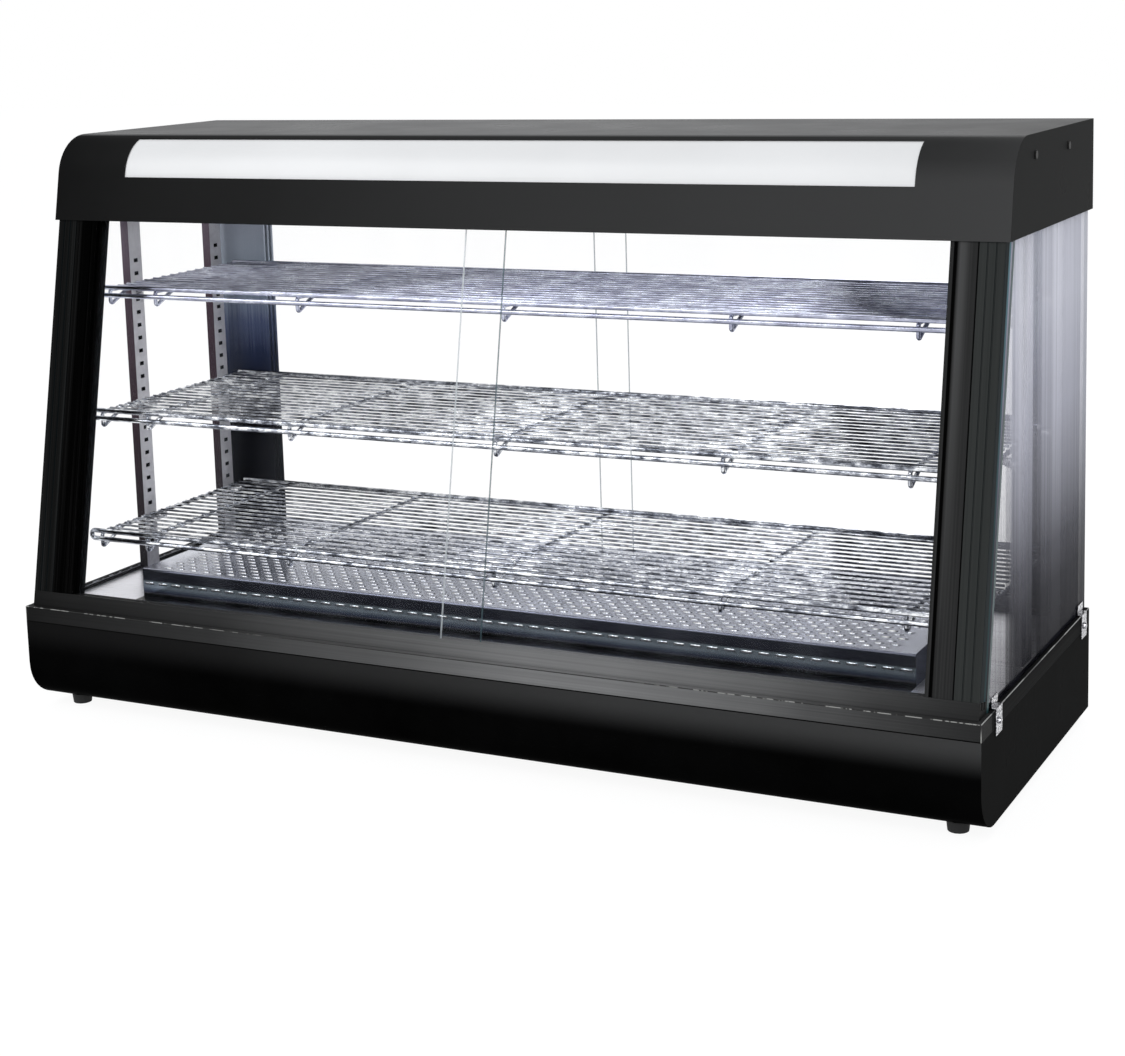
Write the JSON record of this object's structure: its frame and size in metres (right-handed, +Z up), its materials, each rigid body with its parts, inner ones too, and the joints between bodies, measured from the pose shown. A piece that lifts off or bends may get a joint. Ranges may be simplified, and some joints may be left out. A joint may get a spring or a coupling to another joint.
{
  "type": "heated display case",
  "caption": "Counter-top heated display case with a leaning glass front, sliding glass doors front and back, wire shelves, a slotted heater deck and a lit hood.",
  "frame": {"origin": "on the counter under the middle of the case, at the bottom of the rubber feet", "axes": "+X across the case to the right as seen from the front, +Y from the leaning glass front to the back with the controls, +Z up"},
  "size_m": [1.2078, 0.45, 0.7],
  "materials": {
    "gloss_black": "gloss black enamel on folded steel sheet",
    "satin_black": "satin black powder coat",
    "frame_grey": "dark grey satin extrusion with fine lengthwise streaks",
    "stainless": "brushed stainless sheet",
    "chrome_wire": "bright chrome on drawn wire",
    "chrome_clip": "bright chrome on pressed steel",
    "standard_grey": "light grey satin enamel",
    "door_glass": "clear polished glass",
    "side_glass": "clear polished glass with a faint cool tint",
    "black_rubber": "matt black rubber",
    "light_white": "smooth opal sheet",
    "lamp_white": "white coated glass tube",
    "white_plastic": "matt white moulding",
    "black_plastic": "fine matt black moulding",
    "rocker_red": "red moulded rocker",
    "rocker_black": "black moulded rocker",
    "zinc_steel": "zinc plated steel",
    "heater_sheath": "heat darkened steel sheath",
    "ceramic": "unglazed cream ceramic"
  },
  "bodies": {
    "case": {"base_rear_panel": "satin_black", "base_shell": "gloss_black", "cable_gland": "black_plastic", "ceiling_panel": "stainless", "feet": "black_rubber", "floor_panel": "stainless", "front_head": "frame_grey", "front_jamb_left": "satin_black", "front_jamb_right": "satin_black", "front_post_left": "frame_grey", "front_post_right": "frame_grey", "front_rail": "frame_grey", "front_seals": "black_rubber", "front_sill": "frame_grey", "glass_clips": "chrome_clip", "heater_brackets": "stainless", "heater_deck": "stainless", "heater_front": "heater_sheath", "heater_rear": "heater_sheath", "heater_terminals": "ceramic", "hood_rear_panel": "satin_black", "hood_screws": "zinc_steel", "hood_shell": "gloss_black", "lamp_ballast": "zinc_steel", "lamp_cover": "light_white", "lamp_tube": "lamp_white", "lampholders": "white_plastic", "light_panel": "light_white", "light_switch_body": "black_plastic", "power_switch_body": "black_plastic", "rear_head": "frame_grey", "rear_post_left": "frame_grey", "rear_post_right": "frame_grey", "rear_rail": "frame_grey", "rear_sill": "frame_grey", "shelf_bottom": "chrome_wire", "shelf_clips_bottom": "chrome_clip", "shelf_clips_middle": "chrome_clip", "shelf_clips_top": "chrome_clip", "shelf_middle": "chrome_wire", "shelf_top": "chrome_wire", "side_glass_left": "side_glass", "side_glass_right": "side_glass", "side_rail_left": "frame_grey", "side_rail_right": "frame_grey", "standard_front_left": "standard_grey", "standard_front_right": "standard_grey", "standard_rear_left": "standard_grey", "standard_rear_right": "standard_grey", "terminal_block": "white_plastic", "thermostat_body": "black_plastic"},
    "left_front_door": {"front_door_left": "door_glass"},
    "right_front_door": {"front_door_right": "door_glass"},
    "left_rear_door": {"rear_door_left": "door_glass"},
    "right_rear_door": {"rear_door_right": "door_glass"},
    "temperature_knob": {"thermostat_knob": "black_plastic", "thermostat_spindle": "zinc_steel"},
    "power_key": {"power_rocker": "rocker_red"},
    "light_key": {"light_rocker": "rocker_black"}
  },
  "joints": [
    {"name": "left_front_door_slide", "type": "slide", "parent": "case", "child": "left_front_door", "axis": [1, 0, 0], "range_m": [0, 0.52]},
    {"name": "right_front_door_slide", "type": "slide", "parent": "case", "child": "right_front_door", "axis": [1, 0, 0], "range_m": [-0.52, 0]},
    {"name": "left_rear_door_slide", "type": "slide", "parent": "case", "child": "left_rear_door", "axis": [1, 0, 0], "range_m": [0, 0.499]},
    {"name": "right_rear_door_slide", "type": "slide", "parent": "case", "child": "right_rear_door", "axis": [1, 0, 0], "range_m": [-0.499, 0]},
    {"name": "thermostat_turn", "type": "hinge", "parent": "case", "child": "temperature_knob", "pos_m": [-0.42, 0.21, 0.0625], "axis": [0, -1, 0], "range_deg": [0, 270]},
    {"name": "power_rocker_tilt", "type": "hinge", "parent": "case", "child": "power_key", "pos_m": [-0.345, 0.1975, 0.0625], "axis": [1, 0, 0], "range_deg": [0, 16]},
    {"name": "light_rocker_tilt", "type": "hinge", "parent": "case", "child": "light_key", "pos_m": [-0.305, 0.1975, 0.0625], "axis": [1, 0, 0], "range_deg": [0, 16]}
  ]
}
